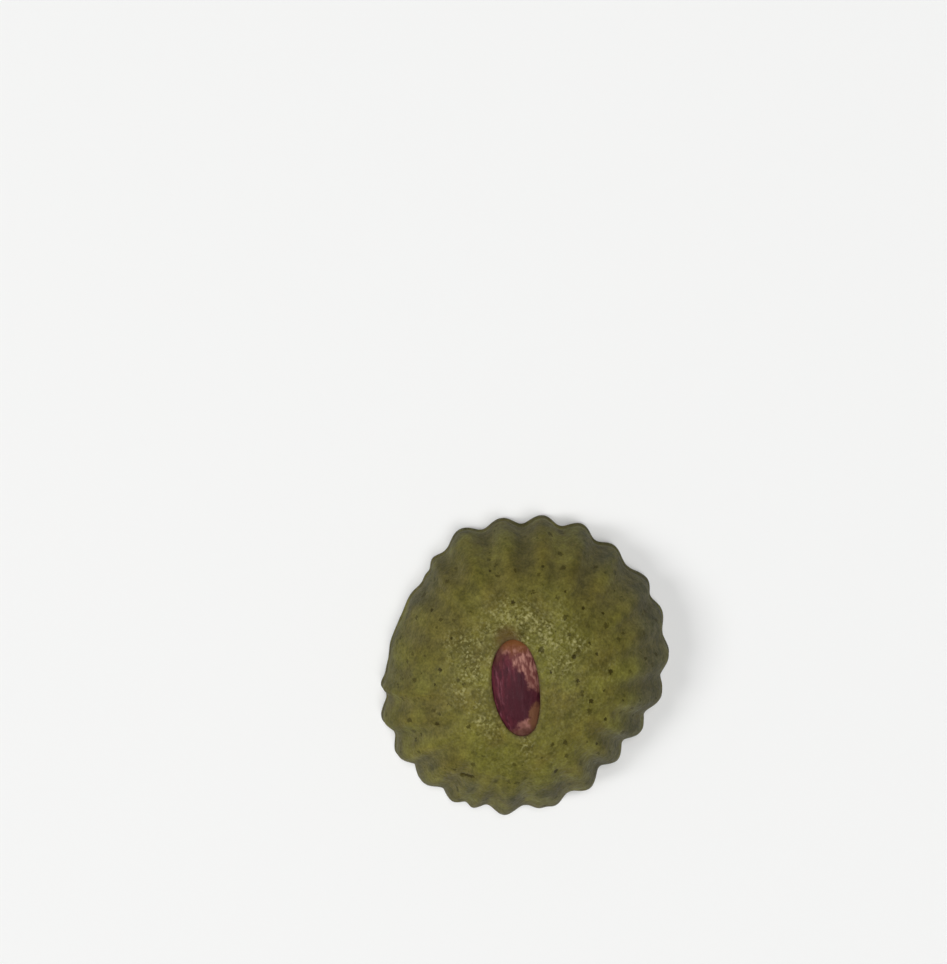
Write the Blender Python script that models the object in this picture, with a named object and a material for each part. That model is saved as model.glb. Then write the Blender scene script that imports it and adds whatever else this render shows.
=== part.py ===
"""A pistachio nougat: one sweet turned out of a fluted mould, a whole kernel pressed into its top.

Metres, +Z up. The sweet rests on Z = 0, its longest way across lies along X, and the origin
is under the middle of its outline's box. Angles go round from +X towards +Y.
"""

import math

import bmesh
import bpy
from mathutils import Euler, Matrix, Vector

# The dough: size over the crests of the flutes
LENGTH = 0.0500
WIDTH = 0.0442
HEIGHT = 0.0175
MEAN_RADIUS = (LENGTH + WIDTH) / 4

# How the dome curves: two powers above 2 are boxier than an ellipse, below 2 are more pointed
SIDE_POWER = 2.3
TOP_POWER = 1.75

# The thin lip of dough squeezed out round the foot: how far in from the outline, at what height
LIP = ((0.00045, 0.0), (0.0001, 0.0003), (0.0, 0.0008), (0.0002, 0.0013), (0.0005, 0.0018))
LIP_WIDTH, LIP_HEIGHT = 0.00055, 0.0024

# The flutes: rounded crests with narrower grooves between them, fading out up the dome
FLUTES = 22
FIRST_CREST = math.radians(-0.6)
FLUTE_DEPTH = 0.00126
GROOVE_ROUNDING = 0.23
CREST_POWER = 1.35
FLUTE_TOP, FLUTE_FOOT = 0.40, 0.95

# Unevenness of the hand-pressed sweet, each spot as angle and spread in degrees, then amount.
# The last four change the flutes: one crest is split, by a notch between two raised edges.
OUTLINE_SPOTS = (
    (66, 12, 0.045),
    (83, 2.3, -0.025),
    (107, 30, -0.081),
    (155, 20, 0.021),
    (230, 2.9, -0.025),
    (269, 21, -0.055),
    (308, 21, 0.013),
    (345, 6.7, 0.016),
    (352, 14, -0.024),
)
FLUTE_DRIFT = ((131, 4.6, 4.3), (177, 14, -2.4), (252, 28, 4.0), (343, 9, -3.0))
FLUTE_LOSS = ((80, 2.0, 0.48), (109, 24, 0.95), (213, 6.6, -0.41), (325, 28, 0.34))
FLUTE_WAVES = ((3, 0.065, 0.7), (7, 0.035, 2.0))
SPLIT_CREST = ((189.5, 3.2, -0.53), (196, 2.7, 0.56), (200.6, 3.6, -0.38))

# The kernel, its place on the dome, and how it lies
KERNEL_LENGTH = 0.0156
KERNEL_WIDTH = 0.0081
KERNEL_THICKNESS = 0.0066
KERNEL_POWER = 2.2
KERNEL_END_POWER = 2.17
KERNEL_TAPER = 0.07
KERNEL_BEND = 0.0004
KERNEL_PLACE = Vector((-0.0011, 0.0008, HEIGHT - 0.0023))
KERNEL_TILT = math.radians(-2)
KERNEL_HEADING = math.radians(224)
POCKET_GAP = 0.00035

# How finely the shapes are divided
COLUMNS = FLUTES * 8
DOME_ROWS = 20
KERNEL_SIDES = 24
KERNEL_ROWS = 18


def clear_scene():
    for old in list(bpy.data.objects):
        bpy.data.objects.remove(old, do_unlink=True)


def make_material(name, color, roughness):
    material = bpy.data.materials.new(name)
    material.use_nodes = True
    shader = material.node_tree.nodes["Principled BSDF"]
    shader.inputs["Base Color"].default_value = (*color, 1.0)
    shader.inputs["Roughness"].default_value = roughness
    shader.inputs["Metallic"].default_value = 0.0
    return material


def make_object(name, mesh_data, material):
    mesh = bpy.data.meshes.new(name)
    bmesh.ops.recalc_face_normals(mesh_data, faces=mesh_data.faces)
    mesh_data.to_mesh(mesh)
    mesh_data.free()
    mesh.materials.append(material)
    mesh.shade_smooth()
    thing = bpy.data.objects.new(name, mesh)
    bpy.context.scene.collection.objects.link(thing)
    return thing


def smooth_step(value, low, high):
    share = min(max((value - low) / (high - low), 0.0), 1.0)
    return share * share * (3.0 - 2.0 * share)


def spots_at(angle, spots):
    """What a few soft spots round the sweet add up to at an angle."""
    total = 0.0
    for place, spread, amount in spots:
        away = (math.degrees(angle) - place + 180.0) % 360.0 - 180.0
        total += amount * math.exp(-((away / spread) ** 2))
    return total


def groove(angle):
    """0 on the crest of a flute and 1 at the bottom of the groove between two."""
    drift = math.radians(spots_at(angle, FLUTE_DRIFT))
    wave = math.cos(FLUTES / 2 * (angle - FIRST_CREST - drift))
    floor, crest = GROOVE_ROUNDING, math.hypot(1.0, GROOVE_ROUNDING)
    rise = (math.hypot(wave, GROOVE_ROUNDING) - floor) / (crest - floor)
    return 1.0 - rise**CREST_POWER


def groove_depth(angle, share):
    """How deep the fluting cuts in at an angle, and at a share of the way out from the middle."""
    kept = 1.0 - spots_at(angle, FLUTE_LOSS)
    uneven = 1.0 + sum(amount * math.sin(times * angle + start) for times, amount, start in FLUTE_WAVES)
    depth = FLUTE_DEPTH * kept * uneven * groove(angle)
    split = FLUTE_DEPTH * spots_at(angle, SPLIT_CREST)
    return (depth + split) * smooth_step(share, FLUTE_TOP, FLUTE_FOOT)


def profile():
    """The side view from the foot to just short of the top, as radius and height pairs."""
    rows = [(MEAN_RADIUS - inset, height) for inset, height in LIP]
    reach, rise = MEAN_RADIUS - LIP_WIDTH, HEIGHT - LIP_HEIGHT
    for row in range(DOME_ROWS):
        turn = math.radians(90.0 * row / DOME_ROWS)
        radius = reach * math.cos(turn) ** (2 / SIDE_POWER)
        rows.append((radius, LIP_HEIGHT + rise * math.sin(turn) ** (2 / TOP_POWER)))
    return rows


def outward(rows, index):
    """The direction square to the side view at one of its rows, out and up."""
    if index < len(LIP):
        return 1.0, 0.0
    below, above = rows[index - 1], rows[min(index + 1, len(rows) - 1)]
    run, climb = below[0] - above[0], above[1] - below[1]
    length = math.hypot(run, climb)
    return climb / length, run / length


def body_rings():
    """Rings of points round the sweet, one for each row of the side view."""
    rows = profile()
    rings = []
    for index, (radius, height) in enumerate(rows):
        share = radius / MEAN_RADIUS
        out, up = outward(rows, index)
        ring = []
        for column in range(COLUMNS):
            angle = 2 * math.pi * column / COLUMNS
            swell = 1.0 + spots_at(angle, OUTLINE_SPOTS)
            across = Vector((LENGTH / 2 * math.cos(angle), WIDTH / 2 * math.sin(angle), 0.0))
            depth = groove_depth(angle, share)
            point = across * share * swell - across.normalized() * depth * out
            point.z = height - depth * up
            ring.append(point)
        rings.append(ring)
    return rings


def fit_to_size(ring):
    """What brings the box round a ring, seen from above, to its full size about the origin."""
    xs = [point.x for point in ring]
    ys = [point.y for point in ring]
    middle = Vector(((min(xs) + max(xs)) / 2, (min(ys) + max(ys)) / 2, 0.0))
    stretch = Matrix.Diagonal((LENGTH / (max(xs) - min(xs)), WIDTH / (max(ys) - min(ys)), 1.0, 1.0))
    return stretch @ Matrix.Translation(-middle)


def close_rings(mesh_data, rings, first, last):
    """Skin a stack of rings, shutting each end to a point, or with a flat face where it has none."""
    loops = [[mesh_data.verts.new(point) for point in ring] for ring in rings]
    for lower, upper in zip(loops, loops[1:]):
        for side, corner in enumerate(lower):
            beside = (side + 1) % len(lower)
            mesh_data.faces.new((corner, lower[beside], upper[beside], upper[side]))
    for loop, tip in ((loops[0], first), (loops[-1], last)):
        if tip is None:
            mesh_data.faces.new(loop)
            continue
        peak = mesh_data.verts.new(tip)
        for side, corner in enumerate(loop):
            mesh_data.faces.new((corner, loop[(side + 1) % len(loop)], peak))


def make_body():
    rings = body_rings()
    fit = fit_to_size(rings[LIP.index(min(LIP))])
    mesh_data = bmesh.new()
    close_rings(mesh_data, rings, None, Vector((0.0, 0.0, HEIGHT)))
    mesh_data.transform(fit)
    return make_object("nougat_body", mesh_data, make_material("pistachio_dough", (0.17, 0.155, 0.045), 0.7))


def kernel_ring(turn, margin):
    """One ring of points round the kernel, at a turn from its blunt end to its tapered one."""
    half_length = KERNEL_LENGTH / 2 + margin
    half_width = KERNEL_WIDTH / 2 + margin
    half_thickness = KERNEL_THICKNESS / 2 + margin
    along = -math.cos(turn)
    girth = (1.0 - abs(along) ** KERNEL_END_POWER) ** (1 / KERNEL_END_POWER)
    girth *= 1.0 - KERNEL_TAPER * along
    ring = []
    for side in range(KERNEL_SIDES):
        around = 2 * math.pi * side / KERNEL_SIDES
        across, up = math.cos(around), math.sin(around)
        boxy = (abs(across) ** KERNEL_POWER + abs(up) ** KERNEL_POWER) ** (-1 / KERNEL_POWER)
        ring.append(
            Vector(
                (
                    half_length * along,
                    half_width * girth * boxy * across + KERNEL_BEND * along * along,
                    half_thickness * girth * boxy * up,
                )
            )
        )
    return ring


def make_kernel(name, margin, material):
    rings = [kernel_ring(math.pi * row / KERNEL_ROWS, margin) for row in range(1, KERNEL_ROWS)]
    half_length = KERNEL_LENGTH / 2 + margin
    ends = [Vector((side * half_length, KERNEL_BEND, 0.0)) for side in (-1, 1)]
    mesh_data = bmesh.new()
    close_rings(mesh_data, rings, *ends)
    thing = make_object(name, mesh_data, material)
    thing.location = KERNEL_PLACE
    thing.rotation_euler = Euler((0.0, KERNEL_TILT, KERNEL_HEADING))
    return thing


def cut_pocket(body, material):
    """Sink the kernel's own shape, a little larger, into the top of the dough."""
    cutter = make_kernel("pocket_cutter", POCKET_GAP, material)
    cutter.hide_render = True
    cutter.display_type = "WIRE"
    cut = body.modifiers.new("pocket", "BOOLEAN")
    cut.operation = "DIFFERENCE"
    cut.solver = "EXACT"
    cut.object = cutter


def main():
    clear_scene()
    body = make_body()
    skin = make_material("kernel_skin", (0.085, 0.025, 0.033), 0.5)
    make_kernel("pistachio_kernel", 0.0, skin)
    cut_pocket(body, skin)


main()
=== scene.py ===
"""The looks of a pistachio nougat: fluted green dough with a whole kernel pressed into its top.

Metres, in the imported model's frame: the foot stands on Z = 0 and the longest way across lies
along X. Angles go round from +X towards +Y.
"""

import math

import bpy
import numpy as np
from mathutils import Euler, Matrix, Vector, noise
from mathutils.bvhtree import BVHTree


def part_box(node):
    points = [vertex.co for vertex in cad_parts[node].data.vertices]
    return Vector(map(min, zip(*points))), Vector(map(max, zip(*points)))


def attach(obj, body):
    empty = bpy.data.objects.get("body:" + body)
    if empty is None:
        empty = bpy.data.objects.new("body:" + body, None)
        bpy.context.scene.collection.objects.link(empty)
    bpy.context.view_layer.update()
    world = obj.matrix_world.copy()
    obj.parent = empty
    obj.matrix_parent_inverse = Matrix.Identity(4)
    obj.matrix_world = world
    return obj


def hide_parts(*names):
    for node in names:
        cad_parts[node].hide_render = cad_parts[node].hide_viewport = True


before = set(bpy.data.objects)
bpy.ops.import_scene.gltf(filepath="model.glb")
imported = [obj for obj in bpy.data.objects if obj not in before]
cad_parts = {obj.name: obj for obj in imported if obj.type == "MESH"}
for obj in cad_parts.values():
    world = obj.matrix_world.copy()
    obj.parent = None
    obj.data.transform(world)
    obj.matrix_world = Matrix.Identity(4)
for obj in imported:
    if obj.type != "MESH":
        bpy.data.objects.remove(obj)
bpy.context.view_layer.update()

# The dough's size, from the frame, and how its dome curves
BODY_LOW, BODY_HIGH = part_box("nougat_body")
LENGTH, WIDTH = (BODY_HIGH - BODY_LOW)[:2]
HEIGHT = 0.0175
MEAN_RADIUS = (LENGTH + WIDTH) / 4
SIDE_POWER = 2.3
TOP_POWER = 1.75

# The thin lip of dough squeezed out round the foot: how far in from the outline, at what height
LIP = ((0.00045, 0.0), (0.0001, 0.0003), (0.0, 0.0008), (0.0002, 0.0013), (0.0005, 0.0018))
LIP_WIDTH, LIP_HEIGHT = 0.00055, 0.0024

# The flutes: rounded crests with narrower grooves between them, fading out up the dome
FLUTES = 22
FIRST_CREST = math.radians(-0.6)
FLUTE_DEPTH = 0.00126
GROOVE_ROUNDING = 0.23
CREST_POWER = 1.35
FLUTE_TOP, FLUTE_FOOT = 0.40, 0.95

# Unevenness of the hand-pressed sweet, each spot as angle and spread in degrees, then amount. The
# outline swells and shrinks, and flutes are moved, made shallower, and in one place split by a
# notch between two raised edges. FLUTE_WAVES makes them uneven all round: how many waves, how
# strong, and where they start, in radians.
OUTLINE_SPOTS = (
    (66, 12, 0.045),
    (83, 2.3, -0.025),
    (107, 30, -0.081),
    (155, 20, 0.021),
    (230, 2.9, -0.025),
    (269, 21, -0.055),
    (308, 21, 0.013),
    (345, 6.7, 0.016),
    (352, 14, -0.024),
)
FLUTE_DRIFT = ((131, 4.6, 4.3), (177, 14, -2.4), (252, 28, 4.0), (343, 9, -3.0))
FLUTE_LOSS = ((80, 2.0, 0.48), (109, 24, 0.95), (213, 6.6, -0.41), (325, 28, 0.34))
FLUTE_WAVES = ((3, 0.065, 0.7), (7, 0.035, 2.0))
SPLIT_CREST = ((189.5, 3.2, -0.53), (196, 2.7, 0.56), (200.6, 3.6, -0.38))

# The kernel, its place on the dome, and how it lies
KERNEL_LENGTH = 0.0156
KERNEL_WIDTH = 0.0081
KERNEL_THICKNESS = 0.0066
KERNEL_POWER = 2.2
KERNEL_END_POWER = 2.17
KERNEL_TAPER = 0.07
KERNEL_BEND = 0.0004
KERNEL_PLACE = Vector((-0.0011, 0.0008, HEIGHT - 0.0023))
KERNEL_TURN = Euler((0.0, math.radians(-2), math.radians(224)))
POCKET_GAP = 0.00016

# The dough's relief, in layers: how long the waves are and how high. Lumps and grain are rougher
# on top: their second height is added in full above ROUGH_TO, and not at all below ROUGH_FROM.
HAND_SIZE, HAND_HEIGHT = 0.0065, 0.00016
LUMP_SIZE, LUMP_HEIGHTS = 0.0017, (0.00003, 0.00003)
GRAIN_SIZE, GRAIN_HEIGHTS = 0.00055, (0.000008, 0.000022)
ROUGH_FROM, ROUGH_TO = 0.005, 0.014

# The underside's hollows, and how far out they fade into a flat rim, where 0.5 is the edge
HOLLOW_SIZE, HOLLOW_DEPTH = 0.0030, 0.00010
FLAT_RIM_INSIDE, FLAT_RIM_OUTSIDE = 0.38, 0.47

# The raised edge round the kernel: how far away it is, how wide and how high, and the dip at the skin
EDGE_AWAY, EDGE_WIDTH, EDGE_HEIGHT = 0.0007, 0.0006, 0.00022
EDGE_DIP_WIDTH, EDGE_DIP = 0.00022, 0.00022
# How far out the painted shade on the dough round the kernel fades
EDGE_SHADE_WIDTH = 0.0006

# The kernel's skin: wrinkles along it, soft flats and pores
WRINKLE_STRETCH = (0.28, 1.0, 1.0)
WRINKLE_SIZE, WRINKLE_HEIGHT = 0.0011, 0.00007
FLAT_SIZE, FLAT_HEIGHT = 0.0034, 0.00012
PORE_SIZE, PORE_HEIGHT = 0.0004, 0.000015

# The photograph's camera, in pixels of its frame: it looks straight down on the picture's middle
PICTURE_WIDTH = 947
PICTURE_MIDDLE = (473.5, 482.0)
FOCAL_PIXELS = 950.0
FOOT_MIDDLE = (519.8, 663.3)
PIXEL_AT_FOOT = 0.0001654
LONG_AXIS_TURN = math.radians(52.0)
CAMERA_HEIGHT = FOCAL_PIXELS * PIXEL_AT_FOOT
PICTURE_RIGHT = Vector((math.cos(LONG_AXIS_TURN), -math.sin(LONG_AXIS_TURN), 0.0))
PICTURE_UP = Vector((math.sin(LONG_AXIS_TURN), math.cos(LONG_AXIS_TURN), 0.0))

# Dark specks that show singly: where in the picture, and how wide
SPECKS = (
    (574, 657, 0.00044),
    (513, 602, 0.00036),
    (611, 672, 0.00050),
    (583, 608, 0.00032),
    (591, 701, 0.00042),
    (440, 670, 0.00036),
    (451, 638, 0.00034),
    (578, 681, 0.00034),
    (590, 643, 0.00030),
    (565, 592, 0.00030),
    (432, 610, 0.00034),
    (603, 613, 0.00030),
    (556, 771, 0.00042),
    (437, 724, 0.00038),
    (633, 715, 0.00028),
    (597, 654, 0.00032),
    (605, 719, 0.00034),
    (597, 744, 0.00032),
    (551, 672, 0.00028),
    (543, 566, 0.00030),
    (490, 571, 0.00026),
    (623, 700, 0.00024),
    (435, 685, 0.00028),
)
SCRATCH_ENDS = ((462, 774), (473, 777))
SCRATCH_WIDTH = 0.00030
# A browner dip at the kernel's top end, its colour a brown stain with painted shade in the dip
STAIN_SHADE_PIXEL = (507, 638)
STAIN_SHADE_SPREAD = 0.0020
SPECK_PIT, SCRATCH_DEPTH, STAIN_SHADE_DIP = 0.00007, 0.00022, 0.00025

# Soft patches of the dough, each a pixel of the photograph and how far it spreads: pale oily
# grain with painted glints, a grayer skin that is mostly painted shade, and a browner one partly painted
# shadow
# Where painted glints on pale oily grain go
GRAIN_GLINT_SPOTS = (
    (502, 622, 0.0032),
    (526, 624, 0.0032),
    (552, 636, 0.0030),
    (576, 648, 0.0024),
    (480, 650, 0.0026),
    (472, 666, 0.0024),
    (456, 645, 0.0020),
    (562, 670, 0.0020),
    (467, 684, 0.0034),
    (488, 722, 0.0026),
    (527, 746, 0.0016),
)
# Mostly painted shade on the right-hand side, along the lower rim and at the top; the first spot is a
# grayer skin on the left flutes
GRAY_SHADE_SPOTS = (
    (424, 594, 0.0026),
    (592, 554, 0.0034),
    (634, 576, 0.0044),
    (645, 610, 0.0042),
    (650, 645, 0.0040),
    (650, 680, 0.0040),
    (640, 710, 0.0036),
    (616, 738, 0.0034),
    (592, 766, 0.0030),
    (552, 794, 0.0028),
    (512, 800, 0.0020),
    (470, 787, 0.0020),
    (430, 762, 0.0018),
)
# Browner skin, with painted shadow where the spots lie near the top
BROWN_SHADOW_SPOTS = (
    (588, 588, 0.0050),
    (446, 574, 0.0030),
    (520, 566, 0.0040),
    (440, 610, 0.0050),
    (455, 632, 0.0026),
    (438, 727, 0.0024),
)

# How finely the shapes are divided
DOME_RINGS = 132
UNDERSIDE_RINGS = DOME_RINGS // 2
PROFILE_STEPS = 120
CORNER_CUTS = 3
KERNEL_SIDES, KERNEL_ROWS = 144, 120
POCKET_SIDES, POCKET_ROWS = 96, 72
SHARP_EDGE = math.radians(50)

MILLIMETRES = 1000.0


def smooth_step(value, low, high):
    share = np.clip((value - low) / (high - low), 0.0, 1.0)
    return share * share * (3.0 - 2.0 * share)


def spots_at(angle, spots):
    """What a few soft spots round the sweet add up to at each angle."""
    total = np.zeros_like(angle)
    for place, spread, amount in spots:
        away = (np.degrees(angle) - place + 180.0) % 360.0 - 180.0
        total += amount * np.exp(-((away / spread) ** 2))
    return total


def groove(angle):
    """0 on the crest of a flute and 1 at the bottom of the groove between two."""
    drift = np.radians(spots_at(angle, FLUTE_DRIFT))
    wave = np.cos(FLUTES / 2 * (angle - FIRST_CREST - drift))
    floor, crest = GROOVE_ROUNDING, math.hypot(1.0, GROOVE_ROUNDING)
    rise = (np.hypot(wave, GROOVE_ROUNDING) - floor) / (crest - floor)
    return 1.0 - rise**CREST_POWER


def groove_depth(angle, share):
    """How deep the fluting cuts in at an angle, and at a share of the way out from the middle."""
    kept = 1.0 - spots_at(angle, FLUTE_LOSS)
    uneven = 1.0 + sum(amount * np.sin(times * angle + start) for times, amount, start in FLUTE_WAVES)
    depth = FLUTE_DEPTH * kept * uneven * groove(angle)
    split = FLUTE_DEPTH * spots_at(angle, SPLIT_CREST)
    return (depth + split) * smooth_step(share, FLUTE_TOP, FLUTE_FOOT)


def cut_corners(line, times):
    """A line of points with its corners rounded off, and its ends kept."""
    for _ in range(times):
        near = 0.75 * line[:-1] + 0.25 * line[1:]
        far = 0.25 * line[:-1] + 0.75 * line[1:]
        middle = np.stack((near, far), axis=1).reshape(-1, line.shape[1])
        line = np.concatenate((line[:1], middle, line[-1:]))
    return line


def profile():
    """The side view from the top down to the foot: share of the way down it, radius and height."""
    turn = np.radians(np.linspace(90.0, 0.0, PROFILE_STEPS))
    reach, rise = MEAN_RADIUS - LIP_WIDTH, HEIGHT - LIP_HEIGHT
    dome = np.stack(
        (
            reach * np.cos(turn).clip(0.0) ** (2 / SIDE_POWER),
            LIP_HEIGHT + rise * np.sin(turn) ** (2 / TOP_POWER),
        ),
        axis=1,
    )
    lip = np.array([(MEAN_RADIUS - inset, height) for inset, height in reversed(LIP)])
    line = cut_corners(np.concatenate((dome, lip)), CORNER_CUTS)
    steps = np.linalg.norm(np.diff(line, axis=0), axis=1)
    down = np.concatenate(((0.0,), np.cumsum(steps))) / steps.sum()
    return down, line[:, 0], line[:, 1]


def disc_grid(rings):
    """A square grid bent into a disc: each point's ring and angle, and its four-sided faces."""
    step = np.arange(-rings, rings + 1)
    across, along = np.meshgrid(step, step, indexing="ij")
    ring = np.maximum(abs(across), abs(along))
    sideways = abs(across) >= abs(along)
    side = np.where(sideways, along * np.sign(across), -across * np.sign(along))
    middle = np.where(
        sideways,
        np.where(across > 0, 0.0, math.pi),
        np.where(along > 0, math.pi / 2, 3 * math.pi / 2),
    )
    angle = (middle + math.pi / 4 * side / np.maximum(ring, 1)) % (2 * math.pi)
    index = np.arange(ring.size).reshape(ring.shape)
    corners = (index[:-1, :-1], index[1:, :-1], index[1:, 1:], index[:-1, 1:])
    faces = np.stack([corner.ravel() for corner in corners], axis=1)
    return ring.ravel(), angle.ravel(), faces


def outer_ring(ring, angle):
    """The points of a disc grid's outermost ring, in order of angle."""
    outer = np.flatnonzero(ring == ring.max())
    return outer[np.argsort(angle[outer])]


def dome_points(angle, share_down):
    """Points on the fluted dome, at angles and at shares of the way down its side."""
    down, radii, heights = profile()
    radius = np.interp(share_down, down, radii)
    height = np.interp(share_down, down, heights)
    run = np.interp(share_down, down, np.gradient(radii, down))
    fall = -np.interp(share_down, down, np.gradient(heights, down))
    up = run / np.hypot(run, fall) * smooth_step(height, LIP_HEIGHT, 2 * LIP_HEIGHT)
    out = np.sqrt(1.0 - up**2)
    share = radius / MEAN_RADIUS
    swell = 1.0 + spots_at(angle, OUTLINE_SPOTS)
    across = np.stack((LENGTH / 2 * np.cos(angle), WIDTH / 2 * np.sin(angle)), axis=1)
    direction = across / np.linalg.norm(across, axis=1, keepdims=True)
    depth = groove_depth(angle, share)
    flat = across * (share * swell)[:, None] - direction * (depth * out)[:, None]
    return np.column_stack((flat, height - depth * up))


def fit_to_size(points):
    """Bring the box round the points, seen from above, to the solid's own size about the origin."""
    low, high = points[:, :2].min(axis=0), points[:, :2].max(axis=0)
    points[:, :2] = (points[:, :2] - (low + high) / 2) * (LENGTH, WIDTH) / (high - low)
    return points


def kernel_share(points):
    """How far out points lie from the kernel's middle, where 1 is on its skin."""
    to_kernel = np.array(kernel_matrix().inverted())
    local = points @ to_kernel[:3, :3].T + to_kernel[:3, 3]
    along = local[:, 0] / (KERNEL_LENGTH / 2)
    taper = 1.0 - KERNEL_TAPER * along.clip(-1.2, 1.2)
    across = (local[:, 1] - KERNEL_BEND * along**2) / (KERNEL_WIDTH / 2)
    up = local[:, 2] / (KERNEL_THICKNESS / 2)
    girth = (abs(across) ** KERNEL_POWER + abs(up) ** KERNEL_POWER) ** (1 / KERNEL_POWER) / taper
    return (abs(along) ** KERNEL_END_POWER + girth**KERNEL_END_POWER) ** (1 / KERNEL_END_POWER), local


def kernel_matrix():
    return Matrix.Translation(KERNEL_PLACE) @ KERNEL_TURN.to_matrix().to_4x4()


def distance_to_kernel(points):
    """About how far points on the dough lie from the kernel's skin."""
    share, local = kernel_share(points)
    return (1.0 - 1.0 / np.maximum(share, 1e-6)) * np.linalg.norm(local, axis=1)


def waves(points, size, layers, shift=0.0):
    """Soft random waves of about a size over points, from -1 to 1. A shift gives other waves."""
    scaled = (points + shift) / size
    return np.array([noise.fractal(Vector(point), 1.0, 2.0, layers) for point in scaled])


def near(points, place, spread):
    """1 at a place, falling off softly over a spread."""
    away = np.linalg.norm(points - np.array(place), axis=1)
    return np.exp(-((away / spread) ** 2))


def spread_spots(points, tree, spots):
    """What soft spots, placed by pixels of the photograph, add up to at each point, 1 at most."""
    places = [(on_dough(tree, (x, y)), spread) for x, y, spread in spots]
    return sum(near(points, place, spread) for place, spread in places).clip(0.0, 1.0)


def scratch_mask(points, ends):
    """1 along the short scratch low on the dough, 0 away from it."""
    start, end = (np.array(place) for place in ends)
    run = end - start
    along = ((points - start) @ run / (run @ run)).clip(0.0, 1.0)
    away = np.linalg.norm(points - (start + along[:, None] * run), axis=1)
    return np.exp(-((away / SCRATCH_WIDTH) ** 2))


def camera_place():
    over = PIXEL_AT_FOOT * (PICTURE_MIDDLE[0] - FOOT_MIDDLE[0]) * PICTURE_RIGHT
    over -= PIXEL_AT_FOOT * (PICTURE_MIDDLE[1] - FOOT_MIDDLE[1]) * PICTURE_UP
    return over + Vector((0.0, 0.0, CAMERA_HEIGHT))


def on_dough(tree, pixel):
    """The point of the dough's surface that a pixel of the photograph shows."""
    right = (pixel[0] - PICTURE_MIDDLE[0]) / FOCAL_PIXELS
    up = (PICTURE_MIDDLE[1] - pixel[1]) / FOCAL_PIXELS
    ray = right * PICTURE_RIGHT + up * PICTURE_UP - Vector((0.0, 0.0, 1.0))
    return tree.ray_cast(camera_place(), ray.normalized())[0]


def mesh_from(name, points, faces):
    mesh = bpy.data.meshes.new(name)
    mesh.from_pydata(points.tolist(), [], [tuple(face) for face in faces])
    mesh.validate()
    mesh.shade_smooth()
    return mesh


def place_object(name, mesh, material):
    mesh.materials.clear()
    mesh.materials.append(material)
    thing = bpy.data.objects.new(name, mesh)
    bpy.context.scene.collection.objects.link(thing)
    return thing


def read_vectors(rows, key):
    values = np.empty(len(rows) * 3)
    rows.foreach_get(key, values)
    return values.reshape(-1, 3)


def get_points(mesh):
    return read_vectors(mesh.vertices, "co")


def get_normals(mesh):
    return read_vectors(mesh.vertex_normals, "vector")


def set_points(mesh, points):
    mesh.vertices.foreach_set("co", points.ravel())
    mesh.update()


def dough_grid():
    """The smooth dough as one closed skin: its points, its faces, and which points are underneath."""
    ring, angle, faces = disc_grid(DOME_RINGS)
    top = dome_points(angle, ring / DOME_RINGS)
    foot = outer_ring(ring, angle)
    under_ring, under_angle, under_faces = disc_grid(UNDERSIDE_RINGS)
    edge = outer_ring(under_ring, under_angle)
    edge_points = top[foot[::2]]
    under_angle_rank = (under_angle / (2 * math.pi) * len(edge)) % len(edge)
    lower = np.floor(under_angle_rank).astype(int)
    part = (under_angle_rank - lower)[:, None]
    rim = edge_points[lower] * (1.0 - part) + edge_points[(lower + 1) % len(edge)] * part
    under = rim * (under_ring / UNDERSIDE_RINGS)[:, None]
    number = np.arange(len(under)) + len(top)
    number[edge] = foot[::2]
    flat = number[under_faces[:, ::-1]]
    # The underside has half the points at the rim, so a thin triangle fills each second step
    fillers = np.stack((foot[::2], np.roll(foot[::2], -1), foot[1::2]), axis=1)
    points = fit_to_size(np.concatenate((top, under)))
    underneath = np.arange(len(points)) >= len(top)
    return points, [*faces.tolist(), *flat.tolist(), *fillers.tolist()], underneath


def relieve(mesh, underneath, marks):
    """Work the dough's unevenness, lumps, grain, pits and the raised edge round the kernel into it."""
    points = get_points(mesh)
    on_top = smooth_step(points[:, 2], ROUGH_FROM, ROUGH_TO)
    relief = waves(points, HAND_SIZE, 2) * HAND_HEIGHT
    for size, (height, more), shift in ((LUMP_SIZE, LUMP_HEIGHTS, 0.05), (GRAIN_SIZE, GRAIN_HEIGHTS, 0.09)):
        relief += waves(points, size, 2, shift) * (height + more * on_top)
    away = distance_to_kernel(points)
    edge = EDGE_HEIGHT * np.exp(-(((away - EDGE_AWAY) / EDGE_WIDTH) ** 2))
    relief += edge - EDGE_DIP * np.exp(-((away / EDGE_DIP_WIDTH) ** 2))
    for place, width in marks["specks"]:
        relief -= SPECK_PIT * near(points, place, width)
    relief -= SCRATCH_DEPTH * scratch_mask(points, marks["scratch"])
    relief -= STAIN_SHADE_DIP * near(points, marks["stain_and_shade"], STAIN_SHADE_SPREAD)
    relief *= smooth_step(points[:, 2], 0.0, LIP_HEIGHT / 2)
    points += get_normals(mesh) * relief[:, None]
    hollow = abs(waves(points, HOLLOW_SIZE, 3, 0.13)) * HOLLOW_DEPTH
    way_out = np.hypot(points[:, 0] / LENGTH, points[:, 1] / WIDTH)
    inside = 1.0 - smooth_step(way_out, FLAT_RIM_INSIDE, FLAT_RIM_OUTSIDE)
    points[:, 2] += np.where(underneath, hollow * inside, 0.0)
    set_points(mesh, points)


def paint(mesh, name, values):
    """Keep one number a point with the mesh, for the material to read."""
    layer = mesh.attributes.new(name, "FLOAT", "POINT")
    layer.data.foreach_set("value", values.astype(np.float32))


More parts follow.
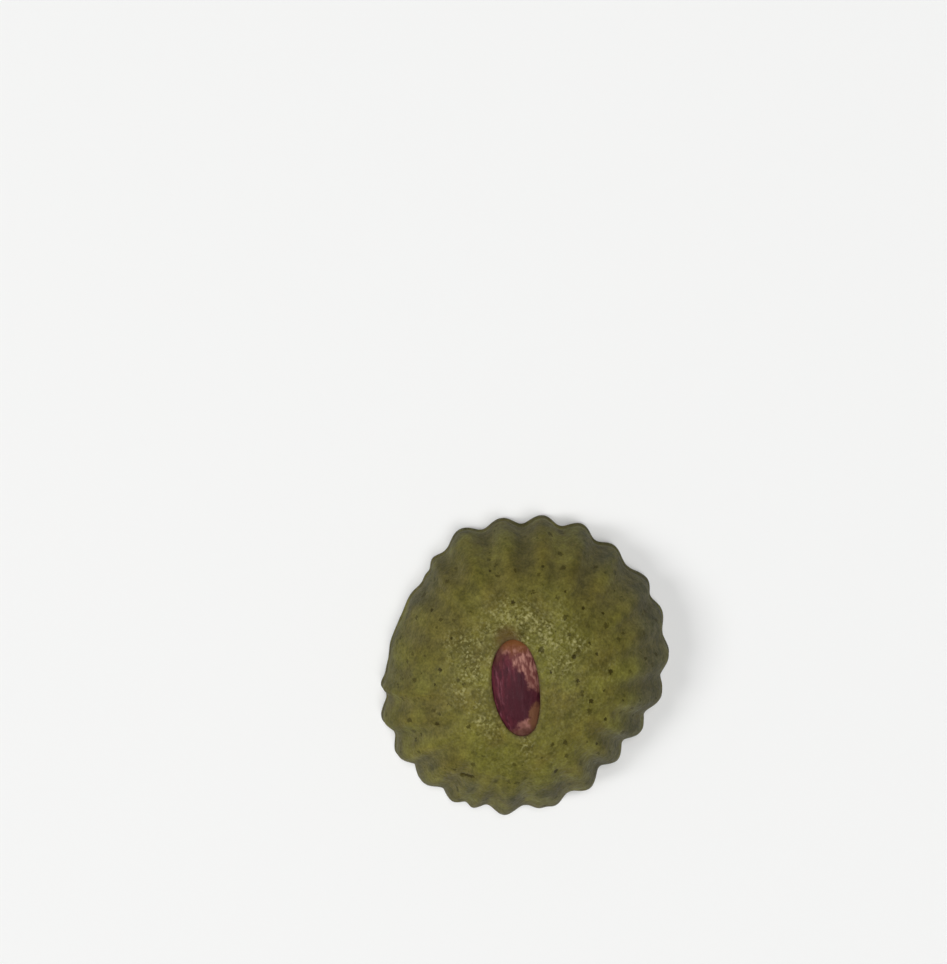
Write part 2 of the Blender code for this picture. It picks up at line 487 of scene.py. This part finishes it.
def make_dough(material):
    points, faces, underneath = dough_grid()
    mesh = mesh_from("dough", points, faces)
    tree = BVHTree.FromPolygons([Vector(point) for point in points], faces)
    marks = {
        "specks": [(on_dough(tree, (x, y)), width) for x, y, width in SPECKS],
        "scratch": [on_dough(tree, pixel) for pixel in SCRATCH_ENDS],
        "stain_and_shade": on_dough(tree, STAIN_SHADE_PIXEL),
    }
    relieve(mesh, underneath, marks)
    dough = place_object("nougat_dough", mesh, material)
    cut_pocket(dough)
    points = get_points(dough.data)
    dark = scratch_mask(points, marks["scratch"])
    for place, width in marks["specks"]:
        dark = np.maximum(dark, near(points, place, width))
    paint(dough.data, "speck", dark)
    # Grain spots carry painted glints, gray spots mostly painted shade, brown spots partly painted shadow
    for name, spots in (("grain", GRAIN_GLINT_SPOTS), ("gray", GRAY_SHADE_SPOTS), ("brown_shadow", BROWN_SHADOW_SPOTS)):
        paint(dough.data, name, spread_spots(points, tree, spots))
    # Brown stain with painted shade in the dip at the kernel's top end
    paint(dough.data, "stain_and_shade", near(points, marks["stain_and_shade"], STAIN_SHADE_SPREAD))
    # Painted shade on the dough close round the kernel
    paint(dough.data, "kernel_edge_shade", np.exp(-distance_to_kernel(points).clip(0.0) / EDGE_SHADE_WIDTH))
    # Painted shade in the flutes' grooves, on the fluted part
    sides = points[:, :2] / (LENGTH / 2, WIDTH / 2)
    fluted = smooth_step(np.hypot(sides[:, 0], sides[:, 1]), 0.45, 0.80)
    paint(dough.data, "groove", groove(np.arctan2(sides[:, 1], sides[:, 0])) * fluted)
    return dough


def cut_pocket(dough):
    """Sink the kernel's own shape, a hair larger, into the top of the dough."""
    cutter = make_kernel_object("pocket_shape", POCKET_SIDES, POCKET_ROWS, POCKET_GAP, None)
    cut = dough.modifiers.new("pocket", "BOOLEAN")
    cut.operation = "DIFFERENCE"
    cut.solver = "EXACT"
    cut.object = cutter
    graph = bpy.context.evaluated_depsgraph_get()
    mesh = bpy.data.meshes.new_from_object(dough.evaluated_get(graph))
    dough.modifiers.clear()
    dough.data = mesh
    mesh.shade_smooth()
    mesh.set_sharp_from_angle(angle=SHARP_EDGE)
    bpy.data.objects.remove(cutter, do_unlink=True)


def kernel_points(sides, rows, margin):
    """Points of the kernel in its own frame, X from the blunt end to the tapered one: rings, then tips."""
    turn = np.linspace(0.0, math.pi, rows + 1)[1:-1, None]
    around = np.linspace(0.0, 2 * math.pi, sides, endpoint=False)[None, :]
    along = -np.cos(turn)
    girth = (1.0 - abs(along) ** KERNEL_END_POWER) ** (1 / KERNEL_END_POWER)
    girth = girth * (1.0 - KERNEL_TAPER * along)
    across, up = np.cos(around), np.sin(around)
    boxy = (abs(across) ** KERNEL_POWER + abs(up) ** KERNEL_POWER) ** (-1 / KERNEL_POWER)
    x = (KERNEL_LENGTH / 2 + margin) * along + 0.0 * around
    y = (KERNEL_WIDTH / 2 + margin) * girth * boxy * across + KERNEL_BEND * along**2
    z = (KERNEL_THICKNESS / 2 + margin) * girth * boxy * up
    rings = np.stack((x, y, z), axis=-1).reshape(-1, 3)
    tips = [(side * (KERNEL_LENGTH / 2 + margin), KERNEL_BEND, 0.0) for side in (-1, 1)]
    return np.concatenate((rings, tips))


def kernel_faces(sides, rows):
    grid = np.arange((rows - 1) * sides).reshape(rows - 1, sides)
    beside = np.roll(grid, -1, axis=1)
    quads = np.stack((grid[:-1], beside[:-1], beside[1:], grid[1:]), axis=-1).reshape(-1, 4)
    blunt, tapered = grid.size, grid.size + 1
    caps = [(blunt, beside[0, side], grid[0, side]) for side in range(sides)]
    caps += [(tapered, grid[-1, side], beside[-1, side]) for side in range(sides)]
    return [*quads.tolist(), *caps]


def wrinkle(mesh):
    """Lengthwise wrinkles, soft flats and fine pores in the kernel's skin."""
    points = get_points(mesh)
    relief = waves(points * WRINKLE_STRETCH, WRINKLE_SIZE, 3) * WRINKLE_HEIGHT
    relief += waves(points, FLAT_SIZE, 2, 0.03) * FLAT_HEIGHT
    relief += waves(points, PORE_SIZE, 2, 0.07) * PORE_HEIGHT
    points += get_normals(mesh) * relief[:, None]
    set_points(mesh, points)


def make_kernel_object(name, sides, rows, margin, material):
    mesh = mesh_from(name, kernel_points(sides, rows, margin), kernel_faces(sides, rows))
    kernel = place_object(name, mesh, material)
    kernel.matrix_world = kernel_matrix()
    return kernel


def make_kernel(material):
    kernel = make_kernel_object("pistachio_whole", KERNEL_SIDES, KERNEL_ROWS, 0.0, material)
    wrinkle(kernel.data)
    return kernel


class Nodes:
    """One material's node tree, built by short calls."""

    def __init__(self, name):
        self.material = bpy.data.materials.new(name)
        self.material.use_nodes = True
        self.tree = self.material.node_tree
        self.shader = self.tree.nodes["Principled BSDF"]

    def feed(self, socket, value):
        """Link a socket to another's output, or set its value."""
        if isinstance(value, bpy.types.NodeSocket):
            self.tree.links.new(value, socket)
        else:
            socket.default_value = value

    def finish(self, inputs):
        for name, value in inputs.items():
            self.feed(self.shader.inputs[name], value)

    def add(self, kind, inputs, **settings):
        node = self.tree.nodes.new("ShaderNode" + kind)
        for name, value in settings.items():
            setattr(node, name, value)
        for key, value in inputs.items():
            self.feed(node.inputs[key], value)
        return node

    def millimetres(self, stretch=(1.0, 1.0, 1.0)):
        """The piece's own coordinates in millimetres, each axis times its stretch."""
        place = self.add("TexCoord", {}).outputs["Object"]
        scale = [MILLIMETRES * share for share in stretch]
        return self.vector("MULTIPLY", place, scale)

    def noise(self, place, scale, detail=2.0):
        inputs = {"Vector": place, "Scale": scale, "Detail": detail}
        return self.add("TexNoise", inputs).outputs[0]

    def cells(self, place, scale):
        """Random cells: how far a point is from its cell's middle, and the cell's own random colour."""
        node = self.add("TexVoronoi", {"Vector": place, "Scale": scale})
        return node.outputs["Distance"], node.outputs["Color"]

    def wander(self, place, scale, amount):
        """Coordinates pushed about by a noise, by up to about an amount each way."""
        inputs = {"Vector": place, "Scale": scale, "Detail": 3.0}
        push = self.add("TexNoise", inputs).outputs[1]
        push = self.vector("SUBTRACT", push, (0.5, 0.5, 0.5))
        return self.vector("ADD", place, self.vector("MULTIPLY", push, (2 * amount,) * 3))

    def step(self, value, low, high, start=0.0, end=1.0):
        """A soft step of a value from start, at low, to end, at high."""
        inputs = {"Value": value, 1: low, 2: high, 3: start, 4: end}
        return self.add("MapRange", inputs, interpolation_type="SMOOTHSTEP").outputs[0]

    def math(self, operation, first, second=0.0, third=0.0):
        return self.add("Math", {0: first, 1: second, 2: third}, operation=operation).outputs[0]

    def vector(self, operation, first, second):
        return self.add("VectorMath", {0: first, 1: second}, operation=operation).outputs[0]

    def split(self, value):
        return self.add("SeparateXYZ", {0: value}).outputs

    def channels(self, value):
        return self.add("SeparateColor", {0: value}).outputs

    def gray(self, value):
        return self.add("CombineColor", {0: value, 1: value, 2: value}).outputs[0]

    def mix(self, share, first, second, blend="MIX"):
        node = self.add("Mix", {0: share, 6: first, 7: second}, data_type="RGBA", blend_type=blend)
        return node.outputs[2]

    def attribute(self, name):
        return self.add("Attribute", {}, attribute_name=name).outputs["Fac"]

    def bump(self, height, distance):
        return self.add("Bump", {"Height": height, "Distance": distance}).outputs[0]


def color(red, green, blue):
    return (red, green, blue, 1.0)


OLIVE = color(0.139, 0.125, 0.023)
OLIVE_GREEN = color(0.132, 0.123, 0.021)
OLIVE_BROWN = color(0.129, 0.108, 0.021)
# Browner patches, partly painted shadow near the top
DULL_BROWN_SHADOW = color(0.106, 0.088, 0.020)
# Gray for painted shade and grazing sheen down the steep sides, partly a grayer skin
SIDE_GRAY_SHADE = color(0.078, 0.073, 0.036)
# Painted shadow along the foot, where the sweet meets the floor
FOOT_SHADOW = color(0.050, 0.043, 0.020)
# Painted shade in the flutes' grooves
GROOVE_SHADE = color(0.094, 0.082, 0.027)
# The pale and bright grain colours are painted glints; the gap colour is painted shade between them
PALE_GLINT = color(0.31, 0.285, 0.105)
BRIGHT_GLINT = color(0.42, 0.39, 0.165)
GLINT_GAP_SHADE = color(0.078, 0.064, 0.008)
DARK_SPECK = color(0.034, 0.026, 0.001)
# Brown of the dip at the kernel's top end: a stain with painted shade
BROWN_STAIN_SHADE = color(0.095, 0.056, 0.012)
# Painted shade on the dough where it meets the kernel
KERNEL_EDGE_SHADE = color(0.060, 0.032, 0.014)

# Heights up the dome, in millimetres, between which a look of the dough fades in: painted shade and sheen
# down the sides, painted shadow at the foot, painted glints on top, and a rougher sheen low down
SIDE_SHADE_LOW, SIDE_SHADE_HIGH = 3.5, 12.0
FOOT_SHADOW_LOW, FOOT_SHADOW_HIGH = 0.5, 1.7
GRAIN_GLINT_LOW, GRAIN_GLINT_HIGH = 12.5, 16.0
DULL_LOW, DULL_HIGH = 6.0, 14.0

# How many clouds, patches or grains of each kind come to a millimetre; the grain patches, lumps and dots
# set where painted glints go
BROWN_CLOUDS, GREEN_CLOUDS, GRAY_CLOUDS = 0.20, 0.15, 0.22
SPECK_CELLS, SPECK_RAGGEDNESS = 0.70, 4.0
GRAIN_GLINT_PATCHES, GRAIN_GLINT_LUMPS, GLINT_DOTS = 0.55, 2.1, 1.9
SHEEN_PATCHES, GRIT = 2.2, 3.0

# The mottling's layers: how many to a millimetre, and how much lighter and darker each makes it
MOTTLING = ((0.30, 0.22), (0.85, 0.19), (2.8, 0.20))

# How much of each colour shows where it is strongest
# The brown share is partly painted shadow, the gray and groove shares mostly painted shade, the edge share
# painted shade
BROWN_SHADOW_SHARE, GRAY_SHADE_SHARE, GROOVE_SHADE_SHARE = 0.80, 0.8, 0.75
SPECK_SHARE, STAIN_SHADE_SHARE, EDGE_SHADE_SHARE = 0.96, 0.85, 0.80

DOUGH_IOR, DOUGH_SPECULAR = 1.42, 0.17
DOUGH_SCATTER, SCATTER_DEPTH = 0.10, 0.0006
SCATTER_COLOR = (1.0, 0.85, 0.30)
DOUGH_BUMP = 0.00012


def dough_tint(nodes, place):
    """Blotchy olive: greener and browner clouds, browner patches partly painted shadow, gray painted shade
    and sheen down the sides, painted shadow at the foot, painted shade in the grooves, mottled at three
    sizes.
    """
    height = nodes.split(place)[2]
    tint = nodes.mix(nodes.step(nodes.noise(place, BROWN_CLOUDS), 0.40, 0.66), OLIVE, OLIVE_BROWN)
    tint = nodes.mix(nodes.step(nodes.noise(place, GREEN_CLOUDS, 1.0), 0.46, 0.64), tint, OLIVE_GREEN)
    # Browner patches, partly painted shadow near the top
    tint = nodes.mix(nodes.math("MULTIPLY", nodes.attribute("brown_shadow"), BROWN_SHADOW_SHARE), tint, DULL_BROWN_SHADOW)
    clouds = nodes.step(nodes.noise(place, GRAY_CLOUDS), 0.36, 0.62, 0.35, 1.0)
    # Painted shade and sheen in gray: strongest low on the sides, and on the gray spots
    side = nodes.step(height, SIDE_SHADE_LOW, SIDE_SHADE_HIGH, 0.85, 0.0)
    patches = nodes.math("MULTIPLY", nodes.attribute("gray"), GRAY_SHADE_SHARE)
    tint = nodes.mix(nodes.math("MULTIPLY_ADD", side, clouds, patches), tint, SIDE_GRAY_SHADE)
    # Painted shadow at the foot
    tint = nodes.mix(nodes.step(height, FOOT_SHADOW_LOW, FOOT_SHADOW_HIGH, 0.75, 0.0), tint, FOOT_SHADOW)
    # Painted shade in the grooves, broken up by the clouds
    clouded = nodes.math("MULTIPLY", clouds, GROOVE_SHADE_SHARE)
    grooves = nodes.math("MULTIPLY", nodes.attribute("groove"), clouded)
    tint = nodes.mix(grooves, tint, GROOVE_SHADE)
    shade = 1.0
    for scale, depth in MOTTLING:
        layer = nodes.step(nodes.noise(place, scale), 0.25, 0.75, 1.0 - depth, 1.0 + depth)
        shade = nodes.math("MULTIPLY", layer, shade)
    return nodes.mix(1.0, tint, nodes.gray(shade), "MULTIPLY")


def dough_specks(nodes, place):
    """Scattered dark bits of nut skin, ragged and of many sizes."""
    edge, pick = nodes.cells(nodes.wander(place, 2.4, 0.50), SPECK_CELLS)
    red, green, _ = nodes.channels(pick)
    rough_edge = nodes.step(nodes.noise(place, SPECK_RAGGEDNESS), 0.2, 0.8, -0.5, 0.5)
    radius = nodes.step(red, 0.0, 1.0, 0.10, 0.34)
    inside = nodes.step(nodes.math("SUBTRACT", edge, radius), -0.045, 0.045, 1.0, 0.0)
    loose = nodes.math("MULTIPLY", inside, nodes.step(green, 0.30, 1.0, 0.05, 0.75))
    single = nodes.math("MULTIPLY_ADD", rough_edge, 0.45, nodes.attribute("speck"))
    return nodes.math("MAXIMUM", loose, nodes.step(single, 0.30, 0.62))


def dough_grain_glints(nodes, place, tint):
    """Pale oily grains with painted glints, and painted shade in darker gaps between them, thickest on top:
    new tint, amount and lumps.
    """
    patches = nodes.step(nodes.noise(place, GRAIN_GLINT_PATCHES), 0.36, 0.58, 0.30, 1.0)
    on_top = nodes.step(nodes.split(place)[2], GRAIN_GLINT_LOW, GRAIN_GLINT_HIGH, 0.0, 0.22)
    amount = nodes.math("MULTIPLY", nodes.math("MAXIMUM", nodes.attribute("grain"), on_top), patches)
    lumps = nodes.noise(place, GRAIN_GLINT_LUMPS)
    # Painted shade in the gaps, then painted glints on the grains and in bright dots
    gaps = nodes.math("MULTIPLY", nodes.step(lumps, 0.34, 0.50, 0.60, 0.0), amount)
    tint = nodes.mix(gaps, tint, GLINT_GAP_SHADE)
    grains = nodes.math("MULTIPLY", nodes.step(lumps, 0.48, 0.66, 0.0, 0.72), amount)
    tint = nodes.mix(grains, tint, PALE_GLINT)
    edge, pick = nodes.cells(nodes.wander(place, 1.8, 0.25), GLINT_DOTS)
    picked = nodes.math("MULTIPLY", nodes.step(nodes.channels(pick)[0], 0.50, 0.95), amount)
    dots = nodes.math("MULTIPLY", nodes.step(edge, 0.10, 0.66, 0.70, 0.0), picked)
    return nodes.mix(dots, tint, BRIGHT_GLINT), amount, lumps


def dough_material():
    """Dense pistachio dough: blotchy olive, pale grain with painted glints on top, dark skin specks,
    painted shade round the kernel, an oily sheen.
    """
    nodes = Nodes("pistachio_dough")
    place = nodes.millimetres()
    tint, grain_and_glint, lumps = dough_grain_glints(nodes, place, dough_tint(nodes, place))
    tint = nodes.mix(nodes.math("MULTIPLY", dough_specks(nodes, place), SPECK_SHARE), tint, DARK_SPECK)
    # Brown stain with painted shade in the dip at the kernel's top end
    stain_and_shade = nodes.step(nodes.attribute("stain_and_shade"), 0.15, 0.85, 0.0, STAIN_SHADE_SHARE)
    tint = nodes.mix(stain_and_shade, tint, BROWN_STAIN_SHADE)
    # Painted shade on the dough round the kernel
    edge = nodes.step(nodes.attribute("kernel_edge_shade"), 0.25, 0.90, 0.0, EDGE_SHADE_SHARE)
    tint = nodes.mix(edge, tint, KERNEL_EDGE_SHADE)

    dull = nodes.step(nodes.noise(place, SHEEN_PATCHES, 3.0), 0.35, 0.70, 0.42, 0.60)
    dull = nodes.math("SUBTRACT", dull, nodes.math("MULTIPLY", grain_and_glint, 0.10))
    dull = nodes.math("ADD", dull, nodes.step(nodes.split(place)[2], DULL_LOW, DULL_HIGH, 0.18, 0.0))
    grit = nodes.math("MULTIPLY", lumps, nodes.math("MULTIPLY_ADD", grain_and_glint, 2.2, 0.3))
    height = nodes.math("MULTIPLY_ADD", nodes.noise(place, GRIT), 0.45, grit)
    nodes.finish(
        {
            "Base Color": tint,
            "Roughness": dull,
            "IOR": DOUGH_IOR,
            "Specular IOR Level": DOUGH_SPECULAR,
            "Subsurface Weight": DOUGH_SCATTER,
            "Subsurface Radius": SCATTER_COLOR,
            "Subsurface Scale": SCATTER_DEPTH,
            "Normal": nodes.bump(height, DOUGH_BUMP),
        }
    )
    return nodes.material


SKIN_PURPLE = color(0.100, 0.017, 0.026)
SKIN_DEEP = color(0.052, 0.009, 0.015)
SKIN_MAUVE = color(0.165, 0.048, 0.064)
RUBBED_PINK = color(0.154, 0.047, 0.040)
RUBBED_PALE = color(0.42, 0.20, 0.155)
END_TAN = color(0.180, 0.066, 0.020)
LOW_TAN = color(0.150, 0.062, 0.030)
# Brown of the tapered tip, also used for painted shadow at one corner of the rim
TIP_BROWN_AND_SHADE = color(0.085, 0.034, 0.022)

# Patches of the kernel's skin, in millimetres of its plan with X towards the tapered end: the middle
# of each, its half sizes and how soft its edge is
DEEP_PATCH = ((2.4, 0.5), (4.6, 2.5), 0.40)
UNRUBBED_SIDE = ((0.6, -1.6), (5.7, 3.3), 0.12)
UNRUBBED_BAND = ((2.3, 0.2), (2.4, 3.6), 0.14)
RUBBED_CORNER = ((-4.7, 2.0), (2.3, 2.4), 0.22)
PALEST_PATCH = ((-3.9, 0.8), (2.8, 2.8), 0.5)
TAN_END = ((-7.6, 0.6), (2.2, 3.8), 0.45)
TAN_SIDE = ((4.7, 2.9), (2.2, 1.7), 0.20)
# Painted shadow where the dough's edge meets the kernel, near the blunt end
SHADED_CORNER = ((-6.4, -3.0), (2.6, 1.6), 0.50)
BROWN_TIP = ((7.8, 0.6), (1.9, 3.2), 0.30)
PALE_BLOTCH = ((5.7, 0.3), (0.6, 0.7), 0.60)

# How much the skin's streaks and flecks are drawn out along the kernel, and how many to a millimetre
STREAK_STRETCH, FLECK_STRETCH = (0.22, 1.0, 1.0), (0.5, 1.0, 1.0)
DARK_STREAKS, MAUVE_STREAKS, FLECKS = 1.9, 2.4, 1.9
SKIN_GRIT = 4.5
SKIN_IOR, SKIN_SPECULAR = 1.45, 0.16
SKIN_BUMP = 0.00009


def oval(nodes, place, middle, size, soft):
    """1 inside an oval of the kernel's plan, in millimetres, 0 outside."""
    shifted = nodes.vector("SUBTRACT", place, (*middle, 0.0))
    shares = nodes.vector("MULTIPLY", shifted, (1 / size[0], 1 / size[1], 0.0))
    away = nodes.add("VectorMath", {0: shares}, operation="LENGTH").outputs["Value"]
    return nodes.step(away, 1.0 - soft, 1.0 + soft, 1.0, 0.0)


def kernel_tint(nodes, place):
    """Purple skin streaked lengthwise, rubbed through to pinkish tan along one side and the ends, with
    painted shadow at one corner of its rim.
    """
    lengthwise = nodes.millimetres(STREAK_STRETCH)
    streaks = nodes.noise(lengthwise, DARK_STREAKS, 4.0)
    skin = nodes.mix(nodes.step(streaks, 0.36, 0.60), SKIN_DEEP, SKIN_PURPLE)
    mauve = nodes.step(nodes.noise(lengthwise, MAUVE_STREAKS, 3.0), 0.52, 0.72)
    skin = nodes.mix(mauve, skin, SKIN_MAUVE)
    flecks = nodes.noise(nodes.millimetres(FLECK_STRETCH), FLECKS, 1.6)
    strength = nodes.math("MULTIPLY_ADD", oval(nodes, place, *PALEST_PATCH), 0.50, 0.50)
    pale = nodes.math("MULTIPLY", nodes.step(flecks, 0.40, 0.68), strength)
    rubbed = nodes.mix(pale, RUBBED_PINK, RUBBED_PALE)

    ragged = nodes.wander(place, 0.9, 1.2)

    def patch(spot, under, over, share=1.0):
        return nodes.mix(nodes.math("MULTIPLY", oval(nodes, ragged, *spot), share), under, over)

    skin = patch(DEEP_PATCH, skin, SKIN_DEEP, 0.85)
    unrubbed = [oval(nodes, ragged, *spot) for spot in (UNRUBBED_SIDE, UNRUBBED_BAND)]
    tint = nodes.mix(nodes.math("MAXIMUM", *unrubbed), rubbed, skin)
    tint = patch(RUBBED_CORNER, tint, rubbed)
    tint = patch(TAN_END, tint, END_TAN)
    # Painted shadow on the kernel's rim near the blunt end
    tint = patch(SHADED_CORNER, tint, TIP_BROWN_AND_SHADE, 0.70)
    tint = patch(TAN_SIDE, tint, LOW_TAN)
    tint = patch(PALE_BLOTCH, tint, RUBBED_PALE, 0.30)
    return patch(BROWN_TIP, tint, TIP_BROWN_AND_SHADE, 0.75), streaks


def kernel_material():
    """Dull dry skin over the kernel, finely wrinkled along its length."""
    nodes = Nodes("kernel_skin")
    place = nodes.millimetres()
    tint, streaks = kernel_tint(nodes, place)
    height = nodes.math("MULTIPLY_ADD", nodes.noise(place, SKIN_GRIT, 3.0), 0.5, streaks)
    nodes.finish(
        {
            "Base Color": tint,
            "Roughness": nodes.step(streaks, 0.3, 0.7, 0.48, 0.66),
            "IOR": SKIN_IOR,
            "Specular IOR Level": SKIN_SPECULAR,
            "Normal": nodes.bump(height, SKIN_BUMP),
        }
    )
    return nodes.material


FLOOR_HALF, FLOOR_DROP = 4.0, 0.0001
FLOOR_WHITE = color(0.90, 0.90, 0.89)

# The lights: degrees round the picture from its right, degrees above the floor, distance, size, watts
LIGHTS = {
    "light_left": (187, 44, 4.5, 1.4, 79.0),
    "light_low": (300, 70, 2.6, 1.0, 23.0),
    "light_top": (90, 72, 5.0, 1.2, 92.0),
}

# The sky round the sweet: its tint, and how it fades from the sides to overhead
SKY_WHITE = color(0.94, 0.97, 1.0)
WORLD_AT_SIDES, WORLD_OVERHEAD = 0.24, 0.03
FADE_FROM, FADE_TO = 0.1, 0.9


def floor_material():
    nodes = Nodes("pale_floor")
    nodes.finish({"Base Color": FLOOR_WHITE, "Roughness": 0.85})
    return nodes.material


def make_floor():
    signs = ((-1, -1), (1, -1), (1, 1), (-1, 1))
    corners = np.array([(x * FLOOR_HALF, y * FLOOR_HALF, -FLOOR_DROP) for x, y in signs])
    floor = place_object("floor", mesh_from("floor", corners, [(0, 1, 2, 3)]), floor_material())


def add_light(name, around, above, distance, size, power):
    """A soft square light that shines on the sweet."""
    flat, rise = math.cos(math.radians(above)), math.sin(math.radians(above))
    turn = math.radians(around)
    toward = flat * (math.cos(turn) * PICTURE_RIGHT + math.sin(turn) * PICTURE_UP) + Vector((0, 0, rise))
    light = bpy.data.lights.new(name, "AREA")
    light.size = size
    light.energy = power
    lamp = bpy.data.objects.new(name, light)
    bpy.context.scene.collection.objects.link(lamp)
    lamp.location = toward * distance
    lamp.rotation_euler = toward.to_track_quat("Z", "Y").to_euler()


def make_lights():
    for name, light in LIGHTS.items():
        add_light(name, *light)


def make_world():
    """Pale light from all round, weaker from overhead."""
    world = bpy.data.worlds.new("studio")
    world.use_nodes = True
    tree = world.node_tree
    place = tree.nodes.new("ShaderNodeTexCoord")
    height = tree.nodes.new("ShaderNodeSeparateXYZ")
    fade = tree.nodes.new("ShaderNodeMapRange")
    tree.links.new(place.outputs["Generated"], height.inputs[0])
    tree.links.new(height.outputs[2], fade.inputs["Value"])
    for key, value in enumerate((FADE_FROM, FADE_TO, WORLD_AT_SIDES, WORLD_OVERHEAD), start=1):
        fade.inputs[key].default_value = value
    background = tree.nodes["Background"]
    background.inputs["Color"].default_value = SKY_WHITE
    tree.links.new(fade.outputs[0], background.inputs["Strength"])
    bpy.context.scene.world = world
    bpy.context.scene.view_settings.view_transform = "Standard"


def make_camera():
    camera = bpy.data.cameras.new("camera")
    camera.sensor_fit = "HORIZONTAL"
    camera.lens = camera.sensor_width * FOCAL_PIXELS / PICTURE_WIDTH
    camera.clip_start = 0.01
    thing = bpy.data.objects.new("camera", camera)
    bpy.context.scene.collection.objects.link(thing)
    axes = Matrix((PICTURE_RIGHT, PICTURE_UP, Vector((0.0, 0.0, 1.0)))).transposed()
    thing.matrix_world = Matrix.Translation(camera_place()) @ axes.to_4x4()
    bpy.context.scene.camera = thing


def dress_frame():
    """Put the dough and the kernel in place of their plain solids."""
    dough = make_dough(dough_material())
    kernel = make_kernel(kernel_material())
    for piece, node, slot in (
        (dough, "nougat_body", "dough"),
        (kernel, "pistachio_kernel", "kernel_skin"),
    ):
        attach(piece, "root")
        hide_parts(node)


make_camera()
make_lights()
make_world()
make_floor()
dress_frame()
